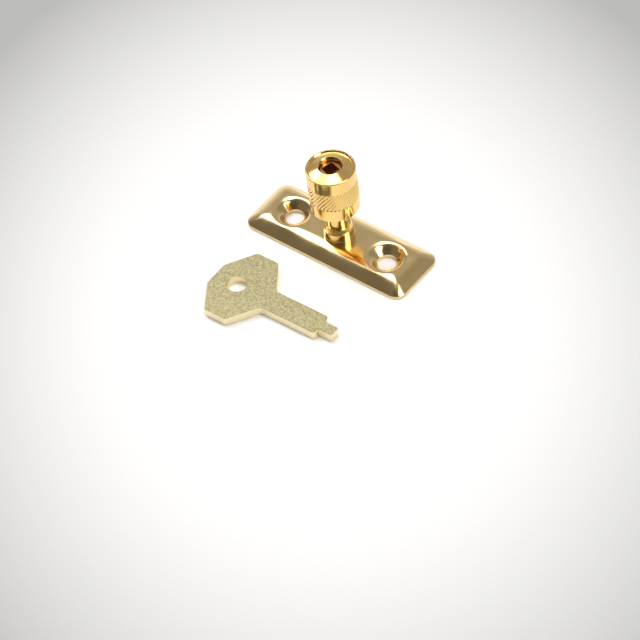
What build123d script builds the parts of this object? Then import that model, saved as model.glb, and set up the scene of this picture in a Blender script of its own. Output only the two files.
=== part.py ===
from build123d import *
import os
from math import atan, cos, degrees, pi, radians, sin, tan

# A locking casement stay pin: a pressed brass plate carries a turned pillar, a knurled cap
# screws down on the pillar's stud, and a socket screw inside the cap jams it there.
# Its flat key lies beside it. Origin: centre of the plate, on the surface it is screwed to.

# Pressed plate
plate_length = 48.0
plate_width = 16.7
plate_height = 3.0
sheet = 1.0
rim_height = 0.8
border_run = 3.0
base_corner = 2.8
shoulder_radius = 3.3
hole_spacing = 28.6
screw_hole_d = 4.9
countersink_d = 8.8
lip_radius = 1.1
dimple_land = 0.6

# Turned pillar
boss_d = 7.8
boss_height = 3.1
boss_edge = 0.15
collar_foot_d = 7.0
collar_d = 6.1
collar_height = 1.0
neck_d = 4.8
stud_d = 5.5
stud_start = 0.4
stud_chamfer = 0.5
tenon_d = 5.0
rivet_d = 7.4
rivet_height = 0.9
rivet_chamfer = 0.35

# Knurled cap
stay_gap = 6.1
cap_d = 12.2
cap_height = 13.0
bottom_chamfer = 0.4
rim_round = 0.3
rim_crest = 0.12
face_d = 10.7
face_recess = 0.4
face_rise = 1.05
mouth_chamfer = 0.25
thread_clearance = 0.05
knurl_start = 3.8
knurl_height = 5.5
knurl_depth = 0.28
knurl_raise = 0.06
knurl_teeth = 40
knurl_angle = 38.0
knurl_crest = 0.3

# Lock screw inside the cap
lock_screw_length = 6.0
lock_screw_depth = 1.3
lock_screw_chamfer = 0.3
socket_width = 3.2
socket_depth = 4.0
socket_turn = -15.0
tip_gap = 0.1

# Flat key
key_thickness = 2.4
key_offset = 25.9
key_turn = 1.1
head_end = -18.1
head_end_half = 3.3
head_shoulder = -13.3
head_half = 10.7
head_front = -7.0
neck_x = -1.9
shank_width = 6.2
shank_end = 14.2
nib_width = 3.0
nib_length = 3.9
head_round = 1.0
neck_round = 1.4
shank_round = 1.2
nib_round = 0.6
ring_hole_d = 5.0
ring_hole_x = -11.5
key_edge = 0.15

# Levels that the pieces share
border_slope = atan((plate_height - rim_height) / border_run)
inner_top = plate_height - sheet
boss_top = plate_height + boss_height
neck_start = boss_top + collar_height
cap_bottom = neck_start + stay_gap
cap_rim = cap_bottom + cap_height
face_valley = cap_rim - face_recess
mouth_top = face_valley + face_rise
lock_screw_top = mouth_top - lock_screw_depth
lock_screw_bottom = lock_screw_top - lock_screw_length
stud_top = lock_screw_bottom - tip_gap
neck_end = cap_bottom + stud_start
bore_r = stud_d / 2 + thread_clearance
knurl_bottom = cap_bottom + knurl_start
knurl_top = knurl_bottom + knurl_height

os.makedirs("parts", exist_ok=True)

def pressed_block(length, width, corner, rim, height, shoulder):
    # A low block with an upright edge, a sloped border and a soft shoulder round a flat top.
    # The shoulder's arc crosses both faces at a hair's angle, so that its cut stays clean.
    run = (height - rim) / tan(border_slope)
    hair = 0.01
    reach = 2 * shoulder
    with BuildPart() as block:
        with BuildSketch():
            RectangleRounded(length, width, corner)
        extrude(amount=rim)
        with BuildSketch(Plane.XY.offset(rim)):
            RectangleRounded(length, width, corner)
        extrude(amount=height - rim, taper=90 - degrees(border_slope))
        for span, depth, plane in ((length, width, Plane.XZ), (width, length, Plane.YZ)):
            x = span / 2 - run - (shoulder - hair) * tan(border_slope / 2)
            z = height - shoulder + hair
            with BuildSketch(plane.offset(-depth)):
                with BuildLine():
                    Polyline(
                        (x, z),
                        (x, z + reach),
                        (x + reach * tan(border_slope / 2), z + reach),
                        (x + reach * sin(border_slope), z + reach * cos(border_slope)),
                        close=True,
                    )
                make_face()
                with Locations((x, z)):
                    Circle(shoulder, mode=Mode.SUBTRACT)
                mirror(about=Plane.YZ)
            extrude(amount=2 * depth, mode=Mode.SUBTRACT)
    return block.part


# The pressed tray: its outside, and its hollow one sheet thickness further in all round
knee = rim_height - sheet * (1 / cos(border_slope) - tan(border_slope))
tray_outside = pressed_block(
    plate_length, plate_width, base_corner, rim_height, plate_height, shoulder_radius
)
tray_inside = pressed_block(
    plate_length - 2 * sheet,
    plate_width - 2 * sheet,
    base_corner - sheet,
    knee,
    inner_top,
    shoulder_radius - sheet,
)

# One countersink as a cutter: the screw's hole, a 90 degree cone and a lip that rolls over
hole_r = screw_hole_d / 2
cone_top_r = countersink_d / 2
cone_foot = plate_height - (cone_top_r - hole_r)
lip_tangent = lip_radius * tan(radians(22.5))
lip_foot_r = cone_top_r - lip_tangent * cos(radians(45))
lip_foot = plate_height - lip_tangent * sin(radians(45))
with BuildPart() as countersink:
    with BuildSketch(Plane.XZ):
        with BuildLine():
            Polyline((0, -sheet), (hole_r, -sheet), (hole_r, cone_foot), (lip_foot_r, lip_foot))
            RadiusArc((lip_foot_r, lip_foot), (cone_top_r + lip_tangent, plate_height), lip_radius)
            Polyline((cone_top_r + lip_tangent, plate_height), (0, plate_height), (0, -sheet))
        make_face()
    revolve(axis=Axis.Z)

# The plate: the sheet tray, two dimples pressed down to the surface, and the pillar's hole
dimple_top_r = cone_top_r - sheet + sheet / cos(radians(45))
with BuildPart() as base_plate:
    add(tray_outside)
    add(tray_inside, mode=Mode.SUBTRACT)
    with Locations((-hole_spacing / 2, 0, 0), (hole_spacing / 2, 0, 0)):
        Cone(
            hole_r + dimple_land,
            dimple_top_r,
            inner_top,
            align=(Align.CENTER, Align.CENTER, Align.MIN),
        )
        add(countersink.part, mode=Mode.SUBTRACT)
    Hole(tenon_d / 2)
base_plate.part.label = "base_plate"
export_step(base_plate.part, "parts/base_plate.step")

# The pillar: rivet head under the plate, tenon, boss, coned collar, plain neck and stud.
# The stud's fine thread is drawn as the plain cylinder of its mean diameter.
rivet_bottom = inner_top - rivet_height
with BuildPart() as pillar:
    with BuildSketch(Plane.XZ):
        with BuildLine():
            Polyline(
                (0, rivet_bottom),
                (rivet_d / 2 - rivet_chamfer, rivet_bottom),
                (rivet_d / 2, rivet_bottom + rivet_chamfer),
                (rivet_d / 2, inner_top),
                (tenon_d / 2, inner_top),
                (tenon_d / 2, plate_height),
                (boss_d / 2, plate_height),
                (boss_d / 2, boss_top),
                (collar_foot_d / 2, boss_top),
                (collar_d / 2, neck_start),
                (neck_d / 2, neck_start),
                (neck_d / 2, neck_end),
                (stud_d / 2, neck_end + (stud_d - neck_d) / 2),
                (stud_d / 2, stud_top - stud_chamfer),
                (stud_d / 2 - stud_chamfer, stud_top),
                (0, stud_top),
                close=True,
            )
        make_face()
    revolve(axis=Axis.Z)
    boss_rim = pillar.edges().filter_by(GeomType.CIRCLE)
    boss_rim = boss_rim.filter_by(lambda edge: abs(edge.radius - boss_d / 2) < 0.001)
    chamfer(boss_rim.sort_by(Axis.Z)[-1], boss_edge)
pillar.part.label = "pillar"
export_step(pillar.part, "parts/pillar.step")

# Section of the knurl: flat crests with V grooves between them, turned as it rises
knurl_points = []
for tooth in range(knurl_teeth):
    crest_start = tooth * 2 * pi / knurl_teeth
    crest_end = crest_start + knurl_crest * 2 * pi / knurl_teeth
    groove = crest_start + (1 + knurl_crest) * pi / knurl_teeth
    for radius, angle in (
        (cap_d / 2 + knurl_raise, crest_start),
        (cap_d / 2 + knurl_raise, crest_end),
        (cap_d / 2 - knurl_depth, groove),
    ):
        knurl_points.append((radius * cos(angle), radius * sin(angle)))
with BuildSketch(Plane.XY.offset(knurl_bottom)) as knurl_section:
    with BuildLine():
        Polyline(*knurl_points, close=True)
    make_face()
knurl_twist = degrees(knurl_height * tan(radians(knurl_angle)) / (cap_d / 2))
knurl_band = Solid.extrude_linear_with_rotation(
    knurl_section.sketch.face(), (0, 0, knurl_bottom), (0, 0, knurl_height), knurl_twist
)

# The cap: a smooth top band, a diagonal knurl and a smooth lower band round one tapped hole.
# Its top is dished inside a thin rim and rises as a shallow cone to the key's hole.
core_r = cap_d / 2 - 2 * knurl_depth
with BuildPart() as knurled_cap:
    with BuildSketch(Plane.XZ):
        with BuildLine():
            Polyline(
                (0, cap_bottom),
                (cap_d / 2 - bottom_chamfer, cap_bottom),
                (cap_d / 2, cap_bottom + bottom_chamfer),
                (cap_d / 2, knurl_bottom),
                (core_r, knurl_bottom),
                (core_r, knurl_top),
                (cap_d / 2, knurl_top),
                (cap_d / 2, cap_rim - rim_round),
                (cap_d / 2 - rim_round, cap_rim),
                (cap_d / 2 - rim_round - rim_crest, cap_rim),
                (face_d / 2, face_valley),
                (bore_r, mouth_top),
                (0, mouth_top),
                close=True,
            )
        make_face()
    revolve(axis=Axis.Z)
    add(knurl_band)
    with Locations((0, 0, mouth_top)):
        Hole(bore_r)
    mouths = knurled_cap.edges().filter_by(GeomType.CIRCLE)
    mouths = mouths.filter_by(lambda edge: abs(edge.radius - bore_r) < 0.001)
    chamfer(mouths, mouth_chamfer)
knurled_cap.part.label = "knurled_cap"
export_step(knurled_cap.part, "parts/knurled_cap.step")

# The lock screw: a headless screw in the cap's own thread with a square socket for the key
lock_screw_r = bore_r - thread_clearance
with BuildPart() as lock_screw:
    with BuildSketch(Plane.XY.offset(lock_screw_bottom)):
        Circle(lock_screw_r)
    extrude(amount=lock_screw_length)
    chamfer(lock_screw.edges().filter_by(GeomType.CIRCLE), lock_screw_chamfer)
    with BuildSketch(Plane.XY.offset(lock_screw_top)):
        Rectangle(socket_width, socket_width, rotation=socket_turn)
    extrude(amount=-socket_depth, mode=Mode.SUBTRACT)
lock_screw.part.label = "lock_screw"
export_step(lock_screw.part, "parts/lock_screw.step")

# The key: stamped flat, an eight-sided head with a ring hole, a straight shank and a nib
key_direction = (cos(radians(key_turn)), sin(radians(key_turn)), 0)
key_plane = Plane(origin=(0, -key_offset, 0), x_dir=key_direction, z_dir=(0, 0, 1))
nib_end = shank_end + nib_length
with BuildPart() as key:
    with BuildSketch(key_plane) as key_outline:
        with BuildLine():
            upper = Polyline(
                (head_end, 0),
                (head_end, head_end_half),
                (head_shoulder, head_half),
                (head_front, head_half),
                (neck_x, shank_width / 2),
                (shank_end, shank_width / 2),
                (shank_end, nib_width / 2),
                (nib_end, nib_width / 2),
                (nib_end, 0),
            )
            mirror(upper, about=Plane.XZ)
        make_face()
        corners = key_outline.vertices()
        fillet(corners.filter_by(lambda v: abs(v.Y) > 0.01 and v.X < head_front + 0.01), head_round)
        fillet(key_outline.vertices().filter_by(lambda v: abs(v.X - neck_x) < 0.01), neck_round)
        shoulders = key_outline.vertices().filter_by(lambda v: abs(v.X - shank_end) < 0.01)
        fillet(shoulders.filter_by(lambda v: abs(v.Y) > nib_width / 2 + 0.01), shank_round)
        tips = key_outline.vertices().filter_by(lambda v: abs(v.X - nib_end) < 0.01)
        fillet(tips.filter_by(lambda v: abs(v.Y) > 0.01), nib_round)
        with Locations((ring_hole_x, 0)):
            Circle(ring_hole_d / 2, mode=Mode.SUBTRACT)
    extrude(amount=key_thickness)
    chamfer(key.faces().sort_by(Axis.Z)[-1].edges(), key_edge)
key.part.label = "key"
export_step(key.part, "parts/key.step")
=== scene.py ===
import bmesh
import bpy
from math import ceil, cos, exp, hypot, pi, radians, sin, sqrt, tan
from mathutils import Matrix, Vector


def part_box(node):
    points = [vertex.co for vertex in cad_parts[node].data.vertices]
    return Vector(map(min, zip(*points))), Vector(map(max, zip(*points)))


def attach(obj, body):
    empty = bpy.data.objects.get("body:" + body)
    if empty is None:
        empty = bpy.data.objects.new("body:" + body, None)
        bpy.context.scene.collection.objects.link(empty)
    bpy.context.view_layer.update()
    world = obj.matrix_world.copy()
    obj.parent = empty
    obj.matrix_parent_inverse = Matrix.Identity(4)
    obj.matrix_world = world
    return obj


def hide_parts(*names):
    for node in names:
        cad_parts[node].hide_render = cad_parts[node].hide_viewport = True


# A locking casement stay pin in polished brass with its flat key. The pieces are drawn in
# millimetres round the frame's origin and brought to metres when they are finished.
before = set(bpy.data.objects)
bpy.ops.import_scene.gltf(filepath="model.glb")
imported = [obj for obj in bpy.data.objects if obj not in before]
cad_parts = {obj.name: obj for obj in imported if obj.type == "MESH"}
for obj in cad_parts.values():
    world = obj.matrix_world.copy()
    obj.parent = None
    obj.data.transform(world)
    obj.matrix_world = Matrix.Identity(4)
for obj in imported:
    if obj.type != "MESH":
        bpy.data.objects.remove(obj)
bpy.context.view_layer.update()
mm = 0.001
print("frame loaded:", ", ".join(sorted(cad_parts)))


def cadSize(node):
    low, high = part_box(node)
    return low / mm, high / mm


# Selecting and editing

def deselectAll():
    if bpy.context.mode != "OBJECT":
        bpy.ops.object.mode_set(mode="OBJECT")
    bpy.ops.object.select_all(action="DESELECT")


def editPiece(piece, selectMode="VERT"):
    deselectAll()
    piece.select_set(True)
    bpy.context.view_layer.objects.active = piece
    bpy.ops.object.mode_set(mode="EDIT")
    bpy.ops.mesh.select_mode(type=selectMode)


def pickVerts(piece, test):
    edit = bmesh.from_edit_mesh(piece.data)
    for vert in edit.verts:
        vert.select = bool(test(vert))
    edit.select_flush(True)
    bmesh.update_edit_mesh(piece.data)


def pickEdges(piece, test):
    edit = bmesh.from_edit_mesh(piece.data)
    for part in list(edit.faces) + list(edit.edges) + list(edit.verts):
        part.select = False
    for edge in edit.edges:
        if test(edge):
            edge.select_set(True)
    bmesh.update_edit_mesh(piece.data)


def applyModifier(piece, kind, **settings):
    deselectAll()
    piece.select_set(True)
    bpy.context.view_layer.objects.active = piece
    modifier = piece.modifiers.new(kind.lower(), kind)
    for name, value in settings.items():
        setattr(modifier, name, value)
    bpy.ops.object.modifier_apply(modifier=modifier.name)


def cutWith(piece, cutter, operation="DIFFERENCE"):
    applyModifier(piece, "BOOLEAN", operation=operation, object=cutter, solver="EXACT")
    bpy.data.objects.remove(cutter)


def finishPiece(piece, node, body, angle=35):
    # To metres, smooth shading, and the CAD node that it stands for
    deselectAll()
    piece.select_set(True)
    bpy.context.view_layer.objects.active = piece
    piece.scale = (mm, mm, mm)
    bpy.ops.object.transform_apply(location=True, rotation=True, scale=True)
    bpy.ops.object.shade_smooth_by_angle(angle=radians(angle))
    applyModifier(piece, "WEIGHTED_NORMAL", weight=100, keep_sharp=True)
    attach(piece, body)
    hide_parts(node)
    print(piece.name, "done,", len(piece.data.polygons), "faces")


# Turned shapes: a chain of corners is drawn by extruding a vertex, its corners are rounded
# by vertex bevels, and the chain is spun round the axis

def drawChain(name, corners):
    deselectAll()
    bpy.ops.mesh.primitive_plane_add(size=1)
    piece = bpy.context.object
    piece.name = piece.data.name = name
    bpy.ops.object.mode_set(mode="EDIT")
    bpy.ops.mesh.select_mode(type="VERT")
    bpy.ops.mesh.merge(type="CENTER")
    bpy.ops.transform.translate(value=corners[0][:3])
    for before, after in zip(corners, corners[1:]):
        step = Vector(after[:3]) - Vector(before[:3])
        bpy.ops.mesh.extrude_vertices_move(TRANSFORM_OT_translate={"value": step})
    return piece


def roundCorners(piece, corners, closed=False):
    # The last value of a corner is its radius. The bevel starts that radius times the tangent
    # of half the turn away from the corner.
    last = len(corners) - 1
    for place, corner in enumerate(corners):
        if corner[3] == 0 or (not closed and place in (0, last)):
            continue
        here = Vector(corner[:3])
        back = here - Vector(corners[place - 1][:3])
        ahead = Vector(corners[(place + 1) % len(corners)][:3]) - here
        turn = back.angle(ahead)
        pickVerts(piece, lambda vert: (vert.co - here).length < 1e-3)
        bpy.ops.mesh.bevel(
            offset=corner[3] * tan(turn / 2),
            segments=max(3, ceil(turn / radians(9))),
            affect="VERTICES",
        )


def turnPiece(name, profile, steps):
    # The profile is a list of (radius, height, rounding)
    corners = [(radius, 0, height, rounding) for radius, height, rounding in profile]
    piece = drawChain(name, corners)
    roundCorners(piece, corners)
    bpy.ops.mesh.select_all(action="SELECT")
    bpy.ops.mesh.spin(steps=steps, angle=2 * pi, center=(0, 0, 0), axis=(0, 0, 1))
    bpy.ops.mesh.select_all(action="SELECT")
    bpy.ops.mesh.remove_doubles(threshold=1e-3)
    bpy.ops.mesh.normals_make_consistent(inside=False)
    bpy.ops.object.mode_set(mode="OBJECT")
    return piece


def addCylinder(radius, low, high, place=(0, 0), sides=96):
    deselectAll()
    bpy.ops.mesh.primitive_cylinder_add(
        vertices=sides,
        radius=radius,
        depth=high - low,
        location=(place[0], place[1], (low + high) / 2),
    )
    return bpy.context.object


# The pressed plate: a slab of fine cells is cut to the outline and the holes, and its two
# sides are then pressed to the tray with its dimples

plate = {
    "rim": 0.8,              # upright sheared edge
    "sheet": 1.0,
    "borderRun": 3.0,        # plan width of the sloped border
    "corner": 2.8,           # corner radius at the base
    "deepCorner": 3.8,       # corner radius that the shoulder follows
    "cornerBlend": 3.0,      # how far in the corner has grown to that radius
    "softBlend": 1.75,       # the shoulder is soft, but pinched beside the dimples
    "pinchedBlend": 0.8,
    "pinchReach": 4.0,       # along the plate from a dimple's middle
    "holeSpacing": 28.6,
    "holeRadius": 2.45,
    "mouthRadius": 4.4,      # countersink's edge, before it is rolled
    "lipBlend": 1.3,         # the mouth's edge is rolled over this height
    "tenonRadius": 2.5,
    "cell": 0.24,
    "slabMargin": 1.0,       # trimmed off with the outline
    "cornerSegments": 16,
    "tiltStep": 0.02,        # the sheet's tilt is measured over twice this
}


def softMin(a, b, blend):
    # The lower of two heights, rounded over where they differ by less than the blend
    overlap = max(blend - abs(a - b), 0) / blend
    return min(a, b) - overlap * overlap * blend / 4


def cornerDepth(x, y, halfLength, halfWidth, radius):
    # How far a point lies inside an outline with round corners
    fromEnd, fromSide = halfLength - abs(x), halfWidth - abs(y)
    if fromEnd < radius and fromSide < radius:
        return radius - hypot(radius - fromEnd, radius - fromSide)
    return min(fromEnd, fromSide)


def plateTop(x, y, size):
    shallow = cornerDepth(x, y, size.x / 2, size.y / 2, plate["corner"])
    deep = cornerDepth(x, y, size.x / 2, size.y / 2, plate["deepCorner"])
    share = min(max(shallow / plate["cornerBlend"], 0), 1)
    depth = shallow + (deep - shallow) * share * share * (3 - 2 * share)
    slope = (size.z - plate["rim"]) / plate["borderRun"]
    pinch = exp(-(((abs(x) - plate["holeSpacing"] / 2) / plate["pinchReach"]) ** 2))
    blend = plate["softBlend"] - (plate["softBlend"] - plate["pinchedBlend"]) * pinch
    height = softMin(plate["rim"] + slope * depth, size.z, blend)
    for side in (-1, 1):
        reach = hypot(x - side * plate["holeSpacing"] / 2, y)
        cone = size.z - plate["mouthRadius"] + reach
        height = softMin(height, cone, plate["lipBlend"])
    return height


def plateUnder(x, y, size):
    # The sheet keeps its thickness square to its surface, and its edge stands on the floor
    step = plate["tiltStep"]
    top = plateTop(x, y, size)
    tiltX = (plateTop(x + step, y, size) - plateTop(x - step, y, size)) / (2 * step)
    tiltY = (plateTop(x, y + step, size) - plateTop(x, y - step, size)) / (2 * step)
    return max(0, top - plate["sheet"] * sqrt(1 + tiltX * tiltX + tiltY * tiltY))


def makePlate():
    low, high = cadSize("base_plate")
    size = high - low
    margin = plate["slabMargin"]
    deselectAll()
    bpy.ops.mesh.primitive_grid_add(
        x_subdivisions=round((size.x + margin) / plate["cell"]),
        y_subdivisions=round((size.y + margin) / plate["cell"]),
        size=1,
    )
    slab = bpy.context.object
    slab.name = slab.data.name = "pressedPlate"
    bpy.ops.object.mode_set(mode="EDIT")
    bpy.ops.mesh.select_all(action="SELECT")
    bpy.ops.transform.resize(value=(size.x + margin, size.y + margin, 1))
    bpy.ops.mesh.extrude_region_move(TRANSFORM_OT_translate={"value": (0, 0, 1)})
    bpy.ops.mesh.select_all(action="SELECT")
    bpy.ops.mesh.normals_make_consistent(inside=False)

    deselectAll()
    bpy.ops.mesh.primitive_cube_add(size=1, scale=(size.x, size.y, 4))
    outline = bpy.context.object
    bpy.ops.object.transform_apply(scale=True)
    editPiece(outline, "EDGE")
    pickEdges(outline, lambda e: abs(e.verts[0].co.z - e.verts[1].co.z) > 1)
    bpy.ops.mesh.bevel(
        offset=plate["corner"], segments=plate["cornerSegments"], affect="EDGES")
    bpy.ops.object.mode_set(mode="OBJECT")
    cutWith(slab, outline, "INTERSECT")
    for side in (-1, 1):
        place = (side * plate["holeSpacing"] / 2, 0)
        cutWith(slab, addCylinder(plate["holeRadius"], -1, 2, place))
    cutWith(slab, addCylinder(plate["tenonRadius"], -1, 2))

    for vert in slab.data.vertices:
        x, y, z = vert.co
        vert.co.z = plateTop(x, y, size) if z > 0.5 else plateUnder(x, y, size)
    finishPiece(slab, "base_plate", "base")
    return slab


# The turned pillar: rivet head, tenon, boss with a coned shoulder, neck and threaded stud

pillar = {
    "steps": 128,
    "rivetRadius": 3.7,
    "rivetHeight": 0.9,
    "rivetChamfer": 0.35,
    "sheetUnder": 2.0,       # underside of the plate's sheet
    "tenonRadius": 2.5,
    "seat": 3.0,             # top of the plate
    "bossRadius": 3.9,
    "bossHeight": 3.1,
    "footHeight": 0.95,      # the boss is turned down a hair above its foot
    "waistRadius": 3.75,
    "collarFoot": 3.5,       # the collar is a steep cone on top of the boss
    "collarRadius": 3.05,
    "collarHeight": 1.0,
    "neckRadius": 2.4,       # also the thread's core
    "threadRadius": 2.75,
    "threadStart": 13.6,     # just inside the cap
    "tipChamfer": 0.5,
    "threadPitch": 1.0,      # the cap's lift in one turn
    "threadFlat": 0.12,
    "threadSunk": 0.05,      # how far the ridge's foot is sunk into the core
    "threadGap": 0.04,       # between two turns of the ridge
    "threadSteps": 64,
}


def makePillar():
    low, high = cadSize("pillar")
    p = pillar
    footTop = p["seat"] + p["footHeight"]
    bossTop = p["seat"] + p["bossHeight"]
    rivetLow = p["sheetUnder"] - p["rivetHeight"]
    rivetFlat = p["rivetRadius"] - p["rivetChamfer"]
    collarTop = bossTop + p["collarHeight"]
    piece = turnPiece("turnedPillar", [
        (0, rivetLow, 0),
        (rivetFlat, rivetLow, 0.15),
        (p["rivetRadius"], rivetLow + p["rivetChamfer"], 0.15),
        (p["rivetRadius"], p["sheetUnder"], 0),
        (p["tenonRadius"], p["sheetUnder"], 0),
        (p["tenonRadius"], p["seat"], 0),
        (p["bossRadius"], p["seat"], 0.1),
        (p["bossRadius"], footTop, 0.12),
        (p["waistRadius"], footTop + 0.12, 0.04),
        (p["waistRadius"], bossTop, 0.22),
        (p["collarFoot"], bossTop, 0.08),
        (p["collarRadius"], collarTop, 0.12),
        (p["neckRadius"], collarTop, 0.1),
        (p["neckRadius"], high.z - p["tipChamfer"], 0.05),
        (p["neckRadius"] - p["tipChamfer"], high.z, 0.05),
        (0, high.z, 0),
    ], p["steps"])

    ridgeFoot = p["neckRadius"] - p["threadSunk"]
    ridgeLow = p["threadStart"]
    ridgeMid = ridgeLow + p["threadPitch"] / 2
    ridgeHigh = ridgeLow + p["threadPitch"] - p["threadGap"]
    # The thread is one ridge wound up the core, closed at both ends
    ridge = drawChain("studThread", [
        (ridgeFoot, 0, ridgeLow),
        (p["threadRadius"], 0, ridgeMid - p["threadFlat"] / 2),
        (p["threadRadius"], 0, ridgeMid + p["threadFlat"] / 2),
        (ridgeFoot, 0, ridgeHigh),
    ])
    bpy.ops.mesh.select_all(action="SELECT")
    bpy.ops.mesh.edge_face_add()
    bpy.ops.mesh.delete(type="ONLY_FACE")
    bpy.ops.object.mode_set(mode="OBJECT")
    turns = int((high.z - p["tipChamfer"] - ridgeLow) / p["threadPitch"])
    applyModifier(
        ridge, "SCREW", axis="Z", angle=2 * pi, screw_offset=p["threadPitch"],
        iterations=turns, steps=p["threadSteps"], render_steps=p["threadSteps"],
        use_merge_vertices=True, merge_threshold=1e-4,
    )
    editPiece(ridge)
    bpy.ops.mesh.select_all(action="SELECT")
    bpy.ops.mesh.remove_doubles(threshold=1e-3)
    bpy.ops.mesh.select_all(action="DESELECT")
    bpy.ops.mesh.select_non_manifold()
    bpy.ops.mesh.edge_face_add()
    bpy.ops.mesh.select_all(action="SELECT")
    bpy.ops.mesh.normals_make_consistent(inside=False)
    deselectAll()
    ridge.select_set(True)
    piece.select_set(True)
    bpy.context.view_layer.objects.active = piece
    bpy.ops.object.join()
    finishPiece(piece, "pillar", "base", angle=30)
    return piece


# The cap: turned bands above and below a diagonal knurl, a thin rim and a dished top

cap = {
    "radius": 6.1,
    "boreRadius": 2.8,       # also the tapped hole's
    "mouthChamfer": 0.25,
    "bottomChamfer": 0.4,
    "rimRound": 0.3,
    "rimCrest": 0.12,
    "faceRadius": 5.35,      # the face is lowest here and rises to the hole
    "faceRecess": 0.4,
    "height": 13.0,
    "knurlStart": 3.8,
    "knurlHeight": 5.5,
    "knurlRunOut": 0.15,
    "knurlTeeth": 40,
    "knurlAngle": 38,
    "crestRadius": 6.14,
    "grooveRadius": 5.94,
    "toothForm": (1, 1, 0.62, 0, 0.3, 0.75),   # height of each point of one tooth
    "knurlLayers": 18,       # rings of points up the band
}


def makeKnurlBand(low, high):
    c = cap
    points = len(c["toothForm"])
    deselectAll()
    bpy.ops.mesh.primitive_circle_add(
        vertices=c["knurlTeeth"] * points, radius=1, location=(0, 0, low)
    )
    band = bpy.context.object
    bpy.ops.object.transform_apply(location=True)
    bpy.ops.object.mode_set(mode="EDIT")
    bpy.ops.mesh.select_mode(type="VERT")
    for place, share in enumerate(c["toothForm"]):
        radius = c["grooveRadius"] + (c["crestRadius"] - c["grooveRadius"]) * share
        pickVerts(band, lambda vert: vert.index % points == place)
        bpy.ops.transform.resize(value=(radius, radius, 1), center_override=(0, 0, low))
    bpy.ops.object.mode_set(mode="OBJECT")
    twist = (high - low) * tan(radians(c["knurlAngle"])) / c["radius"]
    applyModifier(
        band, "SCREW", axis="Z", angle=twist, screw_offset=high - low,
        steps=c["knurlLayers"], render_steps=c["knurlLayers"], use_merge_vertices=False,
    )
    return band


def makeCap():
    low, high = cadSize("knurled_cap")
    c = cap
    bottom, rim = low.z, low.z + c["height"]
    knurlLow = bottom + c["knurlStart"]
    knurlHigh = knurlLow + c["knurlHeight"]
    valley = rim - c["faceRecess"]
    mouthTop = high.z
    mouthRadius = c["boreRadius"] + c["mouthChamfer"]
    crestOuter = c["radius"] - c["rimRound"]
    piece = turnPiece("knurledCap", [
        (c["radius"], knurlHigh, 0),
        (c["radius"], rim, c["rimRound"]),
        (crestOuter - c["rimCrest"], rim, 0.06),
        (c["faceRadius"], valley, 0.12),
        (mouthRadius, mouthTop, 0.05),
        (c["boreRadius"], mouthTop - c["mouthChamfer"], 0.05),
        (c["boreRadius"], bottom + c["mouthChamfer"], 0),
        (mouthRadius, bottom, 0),
        (c["radius"] - c["bottomChamfer"], bottom, 0.12),
        (c["radius"], bottom + c["bottomChamfer"], 0.12),
        (c["radius"], knurlLow, 0),
    ], c["knurlTeeth"] * len(c["toothForm"]))
    band = makeKnurlBand(knurlLow + c["knurlRunOut"], knurlHigh - c["knurlRunOut"])
    deselectAll()
    band.select_set(True)
    piece.select_set(True)
    bpy.context.view_layer.objects.active = piece
    bpy.ops.object.join()
    for middle in (knurlLow, knurlHigh):
        editPiece(piece, "EDGE")
        pickEdges(piece, lambda e: e.is_boundary and all(
            abs(v.co.z - middle) < 2 * c["knurlRunOut"] for v in e.verts))
        bpy.ops.mesh.bridge_edge_loops()
    bpy.ops.mesh.select_all(action="SELECT")
    bpy.ops.mesh.normals_make_consistent(inside=False)
    bpy.ops.object.mode_set(mode="OBJECT")
    finishPiece(piece, "knurled_cap", "cap", angle=28)
    return piece


# The headless lock screw at the bottom of the cap's hole, with its square socket

lockScrew = {
    "chamfer": 0.3,
    "socketWidth": 3.2,
    "socketDepth": 4.0,
    "socketTurn": -15,
    "socketCorner": 0.2,
    "steps": 96,
}


def makeLockScrew():
    low, high = cadSize("lock_screw")
    s = lockScrew
    radius = (high.x - low.x) / 2
    piece = turnPiece("socketLockScrew", [
        (0, low.z, 0),
        (radius - s["chamfer"], low.z, 0),
        (radius, low.z + s["chamfer"], 0),
        (radius, high.z - s["chamfer"], 0),
        (radius - s["chamfer"], high.z, 0.1),
        (0, high.z, 0),
    ], s["steps"])
    deselectAll()
    bpy.ops.mesh.primitive_cube_add(
        size=1,
        location=(0, 0, high.z),
        rotation=(0, 0, radians(s["socketTurn"])),
        scale=(s["socketWidth"], s["socketWidth"], 2 * s["socketDepth"]),
    )
    socket = bpy.context.object
    bpy.ops.object.transform_apply(location=True, rotation=True, scale=True)
    editPiece(socket, "EDGE")
    pickEdges(socket, lambda e: abs(e.verts[0].co.z - e.verts[1].co.z) > 1)
    bpy.ops.mesh.bevel(offset=s["socketCorner"], segments=4, affect="EDGES")
    bpy.ops.object.mode_set(mode="OBJECT")
    cutWith(piece, socket)
    finishPiece(piece, "lock_screw", "screw")
    return piece


# The flat key: the outline is drawn from the head's end to the nib and back, then filled,
# raised to its thickness and eased along its edges

key = {
    "offset": 25.9,          # in front of the plate
    "turn": 1.1,
    "headEnd": -18.1,
    "headEndHalf": 3.3,
    "headShoulder": -13.3,
    "headHalf": 10.7,
    "headFront": -7.0,
    "neckX": -1.9,
    "shankHalf": 3.1,
    "shankEnd": 14.2,
    "nibHalf": 1.5,
    "nibEnd": 18.1,
    "headRound": 1.0,
    "neckRound": 1.4,
    "shankRound": 1.2,
    "nibRound": 0.6,
    "ringHoleX": -11.5,
    "ringHoleRadius": 2.5,
    "topEase": 0.16,
    "underEase": 0.08,
    "easeSegments": 3,
    "sharpAngle": 0.7,       # edges that turn by more than this are eased, radians
}


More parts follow.
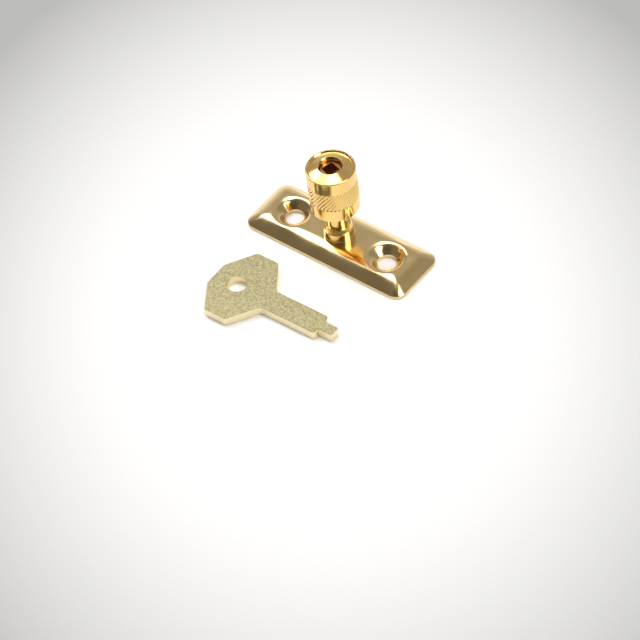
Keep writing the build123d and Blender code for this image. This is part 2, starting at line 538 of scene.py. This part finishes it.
def makeKey():
    low, high = cadSize("key")
    k = key
    half = [
        (k["headEnd"], k["headEndHalf"], 0, k["headRound"]),
        (k["headShoulder"], k["headHalf"], 0, k["headRound"]),
        (k["headFront"], k["headHalf"], 0, k["headRound"]),
        (k["neckX"], k["shankHalf"], 0, k["neckRound"]),
        (k["shankEnd"], k["shankHalf"], 0, k["shankRound"]),
        (k["shankEnd"], k["nibHalf"], 0, 0),
        (k["nibEnd"], k["nibHalf"], 0, k["nibRound"]),
    ]
    outline = half + [(x, -y, z, rounding) for x, y, z, rounding in reversed(half)]
    piece = drawChain("flatKey", outline)
    bpy.ops.mesh.select_all(action="SELECT")
    bpy.ops.mesh.edge_face_add()
    roundCorners(piece, outline, closed=True)
    bpy.ops.mesh.select_all(action="SELECT")
    bpy.ops.mesh.extrude_region_move(TRANSFORM_OT_translate={"value": (0, 0, high.z)})
    bpy.ops.mesh.select_all(action="SELECT")
    bpy.ops.mesh.normals_make_consistent(inside=False)
    bpy.ops.object.mode_set(mode="OBJECT")
    hole = addCylinder(k["ringHoleRadius"], -1, high.z + 1, (k["ringHoleX"], 0))
    cutWith(piece, hole)
    for level, ease in ((high.z, k["topEase"]), (0, k["underEase"])):
        editPiece(piece, "EDGE")
        pickEdges(piece, lambda e: e.is_manifold and e.calc_face_angle() > k["sharpAngle"] and all(
            abs(v.co.z - level) < 1e-3 for v in e.verts))
        bpy.ops.mesh.bevel(offset=ease, segments=k["easeSegments"], affect="EDGES")
    bpy.ops.object.mode_set(mode="OBJECT")
    deselectAll()
    piece.select_set(True)
    bpy.context.view_layer.objects.active = piece
    piece.location = (0, -k["offset"], 0)
    piece.rotation_euler = (0, 0, radians(k["turn"]))
    bpy.ops.object.transform_apply(location=True, rotation=True, scale=True)
    finishPiece(piece, "key", "base")
    return piece


# Materials

def fromHex(code):
    channels = [int(code[place:place + 2], 16) / 255 for place in (1, 3, 5)]
    linear = [c / 12.92 if c <= 0.04045 else ((c + 0.055) / 1.055) ** 2.4 for c in channels]
    return (*linear, 1)


def addNode(tree, kind, settings=None, inputs=None):
    node = tree.nodes.new(kind)
    for name, value in (settings or {}).items():
        setattr(node, name, value)
    for name, value in (inputs or {}).items():
        if isinstance(value, bpy.types.NodeSocket):
            tree.links.new(value, node.inputs[name])
        else:
            node.inputs[name].default_value = value
    return node


def newMaterial(name):
    material = bpy.data.materials.new(name)
    material.use_nodes = True
    tree = material.node_tree
    tree.nodes.clear()
    return material, tree


def finishMaterial(tree, shader):
    output = addNode(tree, "ShaderNodeOutputMaterial")
    tree.links.new(shader.outputs[0], output.inputs["Surface"])


def perMetre(sizeInMm):
    # A noise of this scale has features about that big
    return 1 / (sizeInMm * mm)


brass = {
    "sheetWarm": "#F1D6A1",
    "sheetDeep": "#EACC95",
    "turnedWarm": "#F4D28A",
    "turnedDeep": "#EEC77C",
    # the lock screw's darker browns are painted shade at the bottom of the cap's hole
    "screwWarm": "#C0935F",
    "screwDeep": "#9E7548",
    "pressedRough": 0.16,
    "pillarRough": 0.1,
    "capRough": 0.14,
    "screwRough": 0.3,
    "polishLine": 0.06,      # width of a polishing line, mm
    "cloud": 4.0,            # size of the haze left by the polishing wheel, mm
    "ripple": 2.6,           # size of the pressing's faint ripple, mm
    "toolLine": 0.09,        # spacing of the lathe tool's rings, mm
    "turnedCloud": 2.0,      # size of the tarnish on turned brass, mm
}


def polishedSheetBrass():
    # Pressed sheet brass, wheel polished and lacquered: clear but slightly soft reflections,
    # fine lines along the plate, a faint ripple from the press
    material, tree = newMaterial("polished pressed brass")
    place = addNode(tree, "ShaderNodeTexCoord").outputs["Object"]
    stretched = addNode(tree, "ShaderNodeMapping", inputs={
        "Vector": place, "Scale": (0.06, 1, 1)}).outputs[0]
    lines = addNode(tree, "ShaderNodeTexNoise", inputs={
        "Vector": stretched, "Scale": perMetre(brass["polishLine"]), "Detail": 2.0})
    cloud = addNode(tree, "ShaderNodeTexNoise", inputs={
        "Vector": place, "Scale": perMetre(brass["cloud"]), "Detail": 4.0})
    ripple = addNode(tree, "ShaderNodeTexNoise", inputs={
        "Vector": place, "Scale": perMetre(brass["ripple"]), "Detail": 1.0})
    colour = addNode(tree, "ShaderNodeMix", {"data_type": "RGBA"}, {
        0: cloud.outputs[0], 6: fromHex(brass["sheetDeep"]), 7: fromHex(brass["sheetWarm"])})
    rough = addNode(tree, "ShaderNodeMapRange", inputs={
        "Value": cloud.outputs[0], "From Min": 0.3, "From Max": 0.7,
        "To Min": brass["pressedRough"] - 0.04, "To Max": brass["pressedRough"] + 0.05})
    softBump = addNode(tree, "ShaderNodeBump", inputs={
        "Height": ripple.outputs[0], "Strength": 0.25, "Distance": 0.05 * mm})
    lineBump = addNode(tree, "ShaderNodeBump", inputs={
        "Height": lines.outputs[0], "Strength": 0.12, "Distance": 0.004 * mm,
        "Normal": softBump.outputs[0]})
    shader = addNode(tree, "ShaderNodeBsdfPrincipled", inputs={
        "Base Color": colour.outputs[2], "Metallic": 1.0, "Roughness": rough.outputs[0],
        "Normal": lineBump.outputs[0]})
    finishMaterial(tree, shader)
    return material


def turnedBrass(name, roughness, tint="turned"):
    # Brass turned on a lathe and polished: golden, with faint rings round the axis where the
    # tool went. The lock screw is left dull, and its darker brown is painted shade in the cap's
    # hole.
    material, tree = newMaterial(name)
    place = addNode(tree, "ShaderNodeTexCoord").outputs["Object"]
    split = addNode(tree, "ShaderNodeSeparateXYZ", inputs={0: place})
    flat = addNode(tree, "ShaderNodeCombineXYZ", inputs={
        0: split.outputs[0], 1: split.outputs[1]})
    radius = addNode(tree, "ShaderNodeVectorMath", {"operation": "LENGTH"}, {
        0: flat.outputs[0]})
    rings = addNode(tree, "ShaderNodeCombineXYZ", inputs={
        0: radius.outputs["Value"], 2: split.outputs[2]})
    tool = addNode(tree, "ShaderNodeTexNoise", inputs={
        "Vector": rings.outputs[0], "Scale": perMetre(brass["toolLine"]), "Detail": 3.0})
    cloud = addNode(tree, "ShaderNodeTexNoise", inputs={
        "Vector": place, "Scale": perMetre(brass["turnedCloud"]), "Detail": 4.0})
    colour = addNode(tree, "ShaderNodeMix", {"data_type": "RGBA"}, {
        0: cloud.outputs[0], 6: fromHex(brass[tint + "Deep"]), 7: fromHex(brass[tint + "Warm"])})
    rough = addNode(tree, "ShaderNodeMapRange", inputs={
        "Value": tool.outputs[0], "From Min": 0.3, "From Max": 0.7,
        "To Min": roughness - 0.03, "To Max": roughness + 0.05})
    bump = addNode(tree, "ShaderNodeBump", inputs={
        "Height": tool.outputs[0], "Strength": 0.2, "Distance": 0.006 * mm})
    shader = addNode(tree, "ShaderNodeBsdfPrincipled", inputs={
        "Base Color": colour.outputs[2], "Metallic": 1.0, "Roughness": rough.outputs[0],
        "Normal": bump.outputs[0]})
    finishMaterial(tree, shader)
    return material


keyBrass = {
    "pale": "#B4AC89",
    "khaki": "#8C8360",
    # the spot colour is a painted glint on the pits
    "spot": "#E2CE92",
    # the next colour is a painted highlight on the key's sides
    "paintedSideHighlight": "#F3E6BF",
    "grain": 0.45,           # rolled sheet's grain, drawn a little coarse so that it shows, mm
    "pit": 0.16,             # size of a pit from tumbling, mm
    "cloud": 3.0,            # size of the smoother and duller areas, mm
    "roughness": 0.42,
}


def tumbledKeyBrass():
    # A blanked brass key, tumbled and not polished: a satin khaki face with fine pits and
    # painted yellow glints, and sides painted paler as a painted highlight
    material, tree = newMaterial("tumbled key brass")
    place = addNode(tree, "ShaderNodeTexCoord").outputs["Object"]
    grain = addNode(tree, "ShaderNodeTexNoise", inputs={
        "Vector": place, "Scale": perMetre(keyBrass["grain"]), "Detail": 5.0})
    pits = addNode(tree, "ShaderNodeTexNoise", inputs={
        "Vector": place, "Scale": perMetre(keyBrass["pit"]), "Detail": 3.0})
    cloud = addNode(tree, "ShaderNodeTexNoise", inputs={
        "Vector": place, "Scale": perMetre(keyBrass["cloud"]), "Detail": 3.0})
    contrast = addNode(tree, "ShaderNodeMapRange", inputs={
        "Value": grain.outputs[0], "From Min": 0.35, "From Max": 0.65})
    base = addNode(tree, "ShaderNodeMix", {"data_type": "RGBA"}, {
        0: contrast.outputs[0], 6: fromHex(keyBrass["khaki"]), 7: fromHex(keyBrass["pale"])})
    # Yellow spots on the pits' peaks are painted glints
    paintedGlintMask = addNode(tree, "ShaderNodeMapRange", inputs={
        "Value": pits.outputs[0], "From Min": 0.6, "From Max": 0.72})
    face = addNode(tree, "ShaderNodeMix", {"data_type": "RGBA"}, {
        0: paintedGlintMask.outputs[0], 6: base.outputs[2], 7: fromHex(keyBrass["spot"])})
    # Faces that do not face upwards are painted paler: a painted highlight on the key's sides
    upright = addNode(tree, "ShaderNodeSeparateXYZ", inputs={
        0: addNode(tree, "ShaderNodeTexCoord").outputs["Normal"]})
    flatness = addNode(tree, "ShaderNodeMapRange", inputs={
        "Value": upright.outputs[2], "From Min": 0.3, "From Max": 0.9})
    colour = addNode(tree, "ShaderNodeMix", {"data_type": "RGBA"}, {
        0: flatness.outputs[0], 6: fromHex(keyBrass["paintedSideHighlight"]), 7: face.outputs[2]})
    rough = addNode(tree, "ShaderNodeMapRange", inputs={
        "Value": cloud.outputs[0], "From Min": 0.3, "From Max": 0.7,
        "To Min": keyBrass["roughness"] - 0.05, "To Max": keyBrass["roughness"] + 0.08})
    bump = addNode(tree, "ShaderNodeBump", inputs={
        "Height": pits.outputs[0], "Strength": 0.5, "Distance": 0.02 * mm})
    shader = addNode(tree, "ShaderNodeBsdfPrincipled", inputs={
        "Base Color": colour.outputs[2], "Metallic": 1.0, "Roughness": rough.outputs[0],
        "Normal": bump.outputs[0]})
    finishMaterial(tree, shader)
    return material


def dress(piece, material):
    piece.data.materials.clear()
    piece.data.materials.append(material)


pressedPlate = makePlate()
turnedPillar = makePillar()
knurledCap = makeCap()
socketScrew = makeLockScrew()
flatKey = makeKey()

dress(pressedPlate, polishedSheetBrass())
dress(turnedPillar, turnedBrass("polished turned brass of the pillar", brass["pillarRough"]))
dress(knurledCap, turnedBrass("polished turned brass of the cap", brass["capRough"]))
# The lock screw's darker brown is painted shade in the cap's hole
dress(socketScrew, turnedBrass("lock screw brass darkened as painted shade", brass["screwRough"], "screw"))
dress(flatKey, tumbledKeyBrass())
print("materials done")

# The floor: pale, with the photograph's soft fall-off towards the corners

# The floor is painted darker towards the corners: painted shade of a soft light fall-off
floor = {
    "size": 8.0,             # metres
    "centre": (0.01106, -0.02314),      # what the camera's middle looks at
    "pale": "#FFFFFF",
    "edge": "#AFAFAF",
    "brightRadius": 0.015,
    "fadedRadius": 0.111,
    "fadePower": 1.6,        # above 1 the fall-off starts slowly
}

# The photograph's viewing angle, in degrees and metres
camera = {
    "azimuth": 44.264,
    "elevation": 48.017,
    "roll": -8.816,
    "distance": 0.7,
    "slide": (-0.005121, -0.019103),    # metres to the right and up
    "lens": 160.61,          # mm, on a sensor this wide
    "sensor": 36.0,
    "clip": (0.01, 20.0),
}


def makeFloor():
    # The fall-off is an ellipse on the floor that the camera sees as a circle
    foreshortening = sin(radians(camera["elevation"]))
    deselectAll()
    bpy.ops.mesh.primitive_plane_add(size=floor["size"])
    piece = bpy.context.object
    piece.name = "paleFloor"
    material, tree = newMaterial("matt pale floor")
    place = addNode(tree, "ShaderNodeTexCoord").outputs["Object"]
    turned = addNode(tree, "ShaderNodeMapping", {"vector_type": "TEXTURE"}, {
        "Vector": place, "Rotation": (0, 0, radians(camera["azimuth"])),
        "Location": (*floor["centre"], 0), "Scale": (1, 1 / foreshortening, 1)})
    reach = addNode(tree, "ShaderNodeVectorMath", {"operation": "LENGTH"}, {
        0: turned.outputs[0]})
    fade = addNode(tree, "ShaderNodeMapRange", inputs={
        "Value": reach.outputs["Value"], "From Min": floor["brightRadius"],
        "From Max": floor["fadedRadius"]})
    curve = addNode(tree, "ShaderNodeMath", {"operation": "POWER"}, {
        0: fade.outputs[0], 1: floor["fadePower"]})
    # painted shade: the floor darkens towards its edge colour away from the middle
    colour = addNode(tree, "ShaderNodeMix", {"data_type": "RGBA"}, {
        0: curve.outputs[0], 6: fromHex(floor["pale"]), 7: fromHex(floor["edge"])})
    shader = addNode(tree, "ShaderNodeBsdfPrincipled", inputs={
        "Base Color": colour.outputs[2], "Roughness": 0.9, "Specular IOR Level": 0.0})
    finishMaterial(tree, shader)
    dress(piece, material)


# Studio light: a long soft box overhead, another at the right, a dim room round them. Places
# and sizes are in metres, and a fade is a share of the box's length and width.

softBoxes = [
    {"name": "overheadSoftBox", "centre": (-0.5, 0.17, 1.2), "size": (1.65, 0.75), "glow": 4.1,
     "long": (1, 0, 0), "burnout": 7.0, "fade": (0.2, 0.37)},
    {"name": "rightSoftBox", "centre": (0.87, 0.1, 0.98), "size": (1.1, 0.6), "glow": 3.0,
     "long": (0, 0, 1), "burnout": 6.0, "fade": (0.1, 0.12)},
]

room = {
    "front": "#78746D",
    "back": "#B4B2AA",
    "frontToBack": (-0.35, 0.55),       # the walls change between these, from front to back
    "horizonTop": 0.4,
    "frontHorizon": "#8C877E",
    "backHorizon": "#E4E4E4",
    "darkPatches": [         # behind the camera, and a duller wall at the back right
        {"towards": (0.467, -0.479, 0.743), "colour": "#55524E", "reach": (0.75, 0.95)},
        {"towards": (0.568, 0.479, 0.678), "colour": "#9C9A92", "reach": (0.8, 0.96)},
    ],
}


def addSoftBox(box):
    # The lamp lights the scene with its glow, where 1 is white. A card in the same place
    # stands for the box in reflections, where it burns out as in the photograph.
    away = Vector(box["centre"]).normalized()
    along = Vector(box["long"])
    along = (along - away * along.dot(away)).normalized()
    turn = Matrix((along, away.cross(along), away)).transposed().to_4x4()
    place = Matrix.Translation(Vector(box["centre"])) @ turn
    light = bpy.data.lights.new(box["name"], "AREA")
    light.shape = "RECTANGLE"
    light.size, light.size_y = box["size"]
    light.energy = box["glow"] * pi * box["size"][0] * box["size"][1]
    lamp = bpy.data.objects.new(box["name"], light)
    lamp.visible_glossy = False
    lamp.matrix_world = place
    bpy.context.scene.collection.objects.link(lamp)

    deselectAll()
    bpy.ops.mesh.primitive_plane_add(size=1)
    card = bpy.context.object
    card.name = box["name"] + "Card"
    card.matrix_world = place @ Matrix.Diagonal((*box["size"], 1, 1))
    card.visible_camera = card.visible_diffuse = card.visible_shadow = False
    card.visible_transmission = False
    material, tree = newMaterial(box["name"] + " cloth")
    spot = addNode(tree, "ShaderNodeTexCoord").outputs["Object"]
    reach = addNode(tree, "ShaderNodeVectorMath", {"operation": "ABSOLUTE"}, {0: spot})
    split = addNode(tree, "ShaderNodeSeparateXYZ", inputs={0: reach.outputs[0]})
    fades = [
        addNode(tree, "ShaderNodeMapRange", {"interpolation_type": "SMOOTHSTEP"}, {
            "Value": split.outputs[axis], "From Min": 0.5, "From Max": 0.5 - box["fade"][axis],
            "To Min": 0.0, "To Max": 1.0})
        for axis in (0, 1)
    ]
    edge = addNode(tree, "ShaderNodeMath", {"operation": "MULTIPLY"}, {
        0: fades[0].outputs[0], 1: fades[1].outputs[0]})
    strength = addNode(tree, "ShaderNodeMath", {"operation": "MULTIPLY"}, {
        0: edge.outputs[0], 1: box["burnout"]})
    shader = addNode(tree, "ShaderNodeEmission", inputs={"Strength": strength.outputs[0]})
    finishMaterial(tree, shader)
    dress(card, material)


def makeRoom():
    world = bpy.data.worlds.new("studioRoom")
    bpy.context.scene.world = world
    world.use_nodes = True
    tree = world.node_tree
    tree.nodes.clear()
    look = addNode(tree, "ShaderNodeTexCoord").outputs["Generated"]
    split = addNode(tree, "ShaderNodeSeparateXYZ", inputs={0: look})
    frontToBack = addNode(tree, "ShaderNodeMapRange", {"interpolation_type": "SMOOTHSTEP"}, {
        "Value": split.outputs[1], "From Min": room["frontToBack"][0],
        "From Max": room["frontToBack"][1]})
    upward = addNode(tree, "ShaderNodeMapRange", {"interpolation_type": "SMOOTHSTEP"}, {
        "Value": split.outputs[2], "From Min": 0.0, "From Max": room["horizonTop"]})
    walls = addNode(tree, "ShaderNodeMix", {"data_type": "RGBA"}, {
        0: frontToBack.outputs[0], 6: fromHex(room["front"]), 7: fromHex(room["back"])})
    horizon = addNode(tree, "ShaderNodeMix", {"data_type": "RGBA"}, {
        0: frontToBack.outputs[0], 6: fromHex(room["frontHorizon"]),
        7: fromHex(room["backHorizon"])})
    around = addNode(tree, "ShaderNodeMix", {"data_type": "RGBA"}, {
        0: upward.outputs[0], 6: horizon.outputs[2], 7: walls.outputs[2]})
    whole = around
    for patch in room["darkPatches"]:
        towards = addNode(tree, "ShaderNodeVectorMath", {"operation": "DOT_PRODUCT"}, {
            0: look, 1: patch["towards"]})
        share = addNode(tree, "ShaderNodeMapRange", {"interpolation_type": "SMOOTHSTEP"}, {
            "Value": towards.outputs["Value"], "From Min": patch["reach"][0],
            "From Max": patch["reach"][1]})
        whole = addNode(tree, "ShaderNodeMix", {"data_type": "RGBA"}, {
            0: share.outputs[0], 6: whole.outputs[2], 7: fromHex(patch["colour"])})
    shader = addNode(tree, "ShaderNodeBackground", inputs={"Color": whole.outputs[2]})
    output = addNode(tree, "ShaderNodeOutputWorld")
    tree.links.new(shader.outputs[0], output.inputs["Surface"])


def addCamera():
    data = bpy.data.cameras.new("photoView")
    data.lens = camera["lens"]
    data.sensor_width = camera["sensor"]
    data.clip_start, data.clip_end = camera["clip"]
    view = bpy.data.objects.new("photoView", data)
    bpy.context.scene.collection.objects.link(view)
    turn, lift = radians(camera["azimuth"]), radians(camera["elevation"])
    roll = radians(camera["roll"])
    back = Vector((sin(turn) * cos(lift), -cos(turn) * cos(lift), sin(lift)))
    level = Vector((cos(turn), sin(turn), 0))
    up = back.cross(level)
    right = level * cos(roll) + up * sin(roll)
    top = up * cos(roll) - level * sin(roll)
    place = right * camera["slide"][0] + top * camera["slide"][1] + back * camera["distance"]
    axes = Matrix((right, top, back)).transposed().to_4x4()
    view.matrix_world = Matrix.Translation(place) @ axes
    bpy.context.scene.camera = view


makeFloor()
for box in softBoxes:
    addSoftBox(box)
makeRoom()
addCamera()
bpy.context.scene.view_settings.view_transform = "Standard"
print("stage, light and camera done")
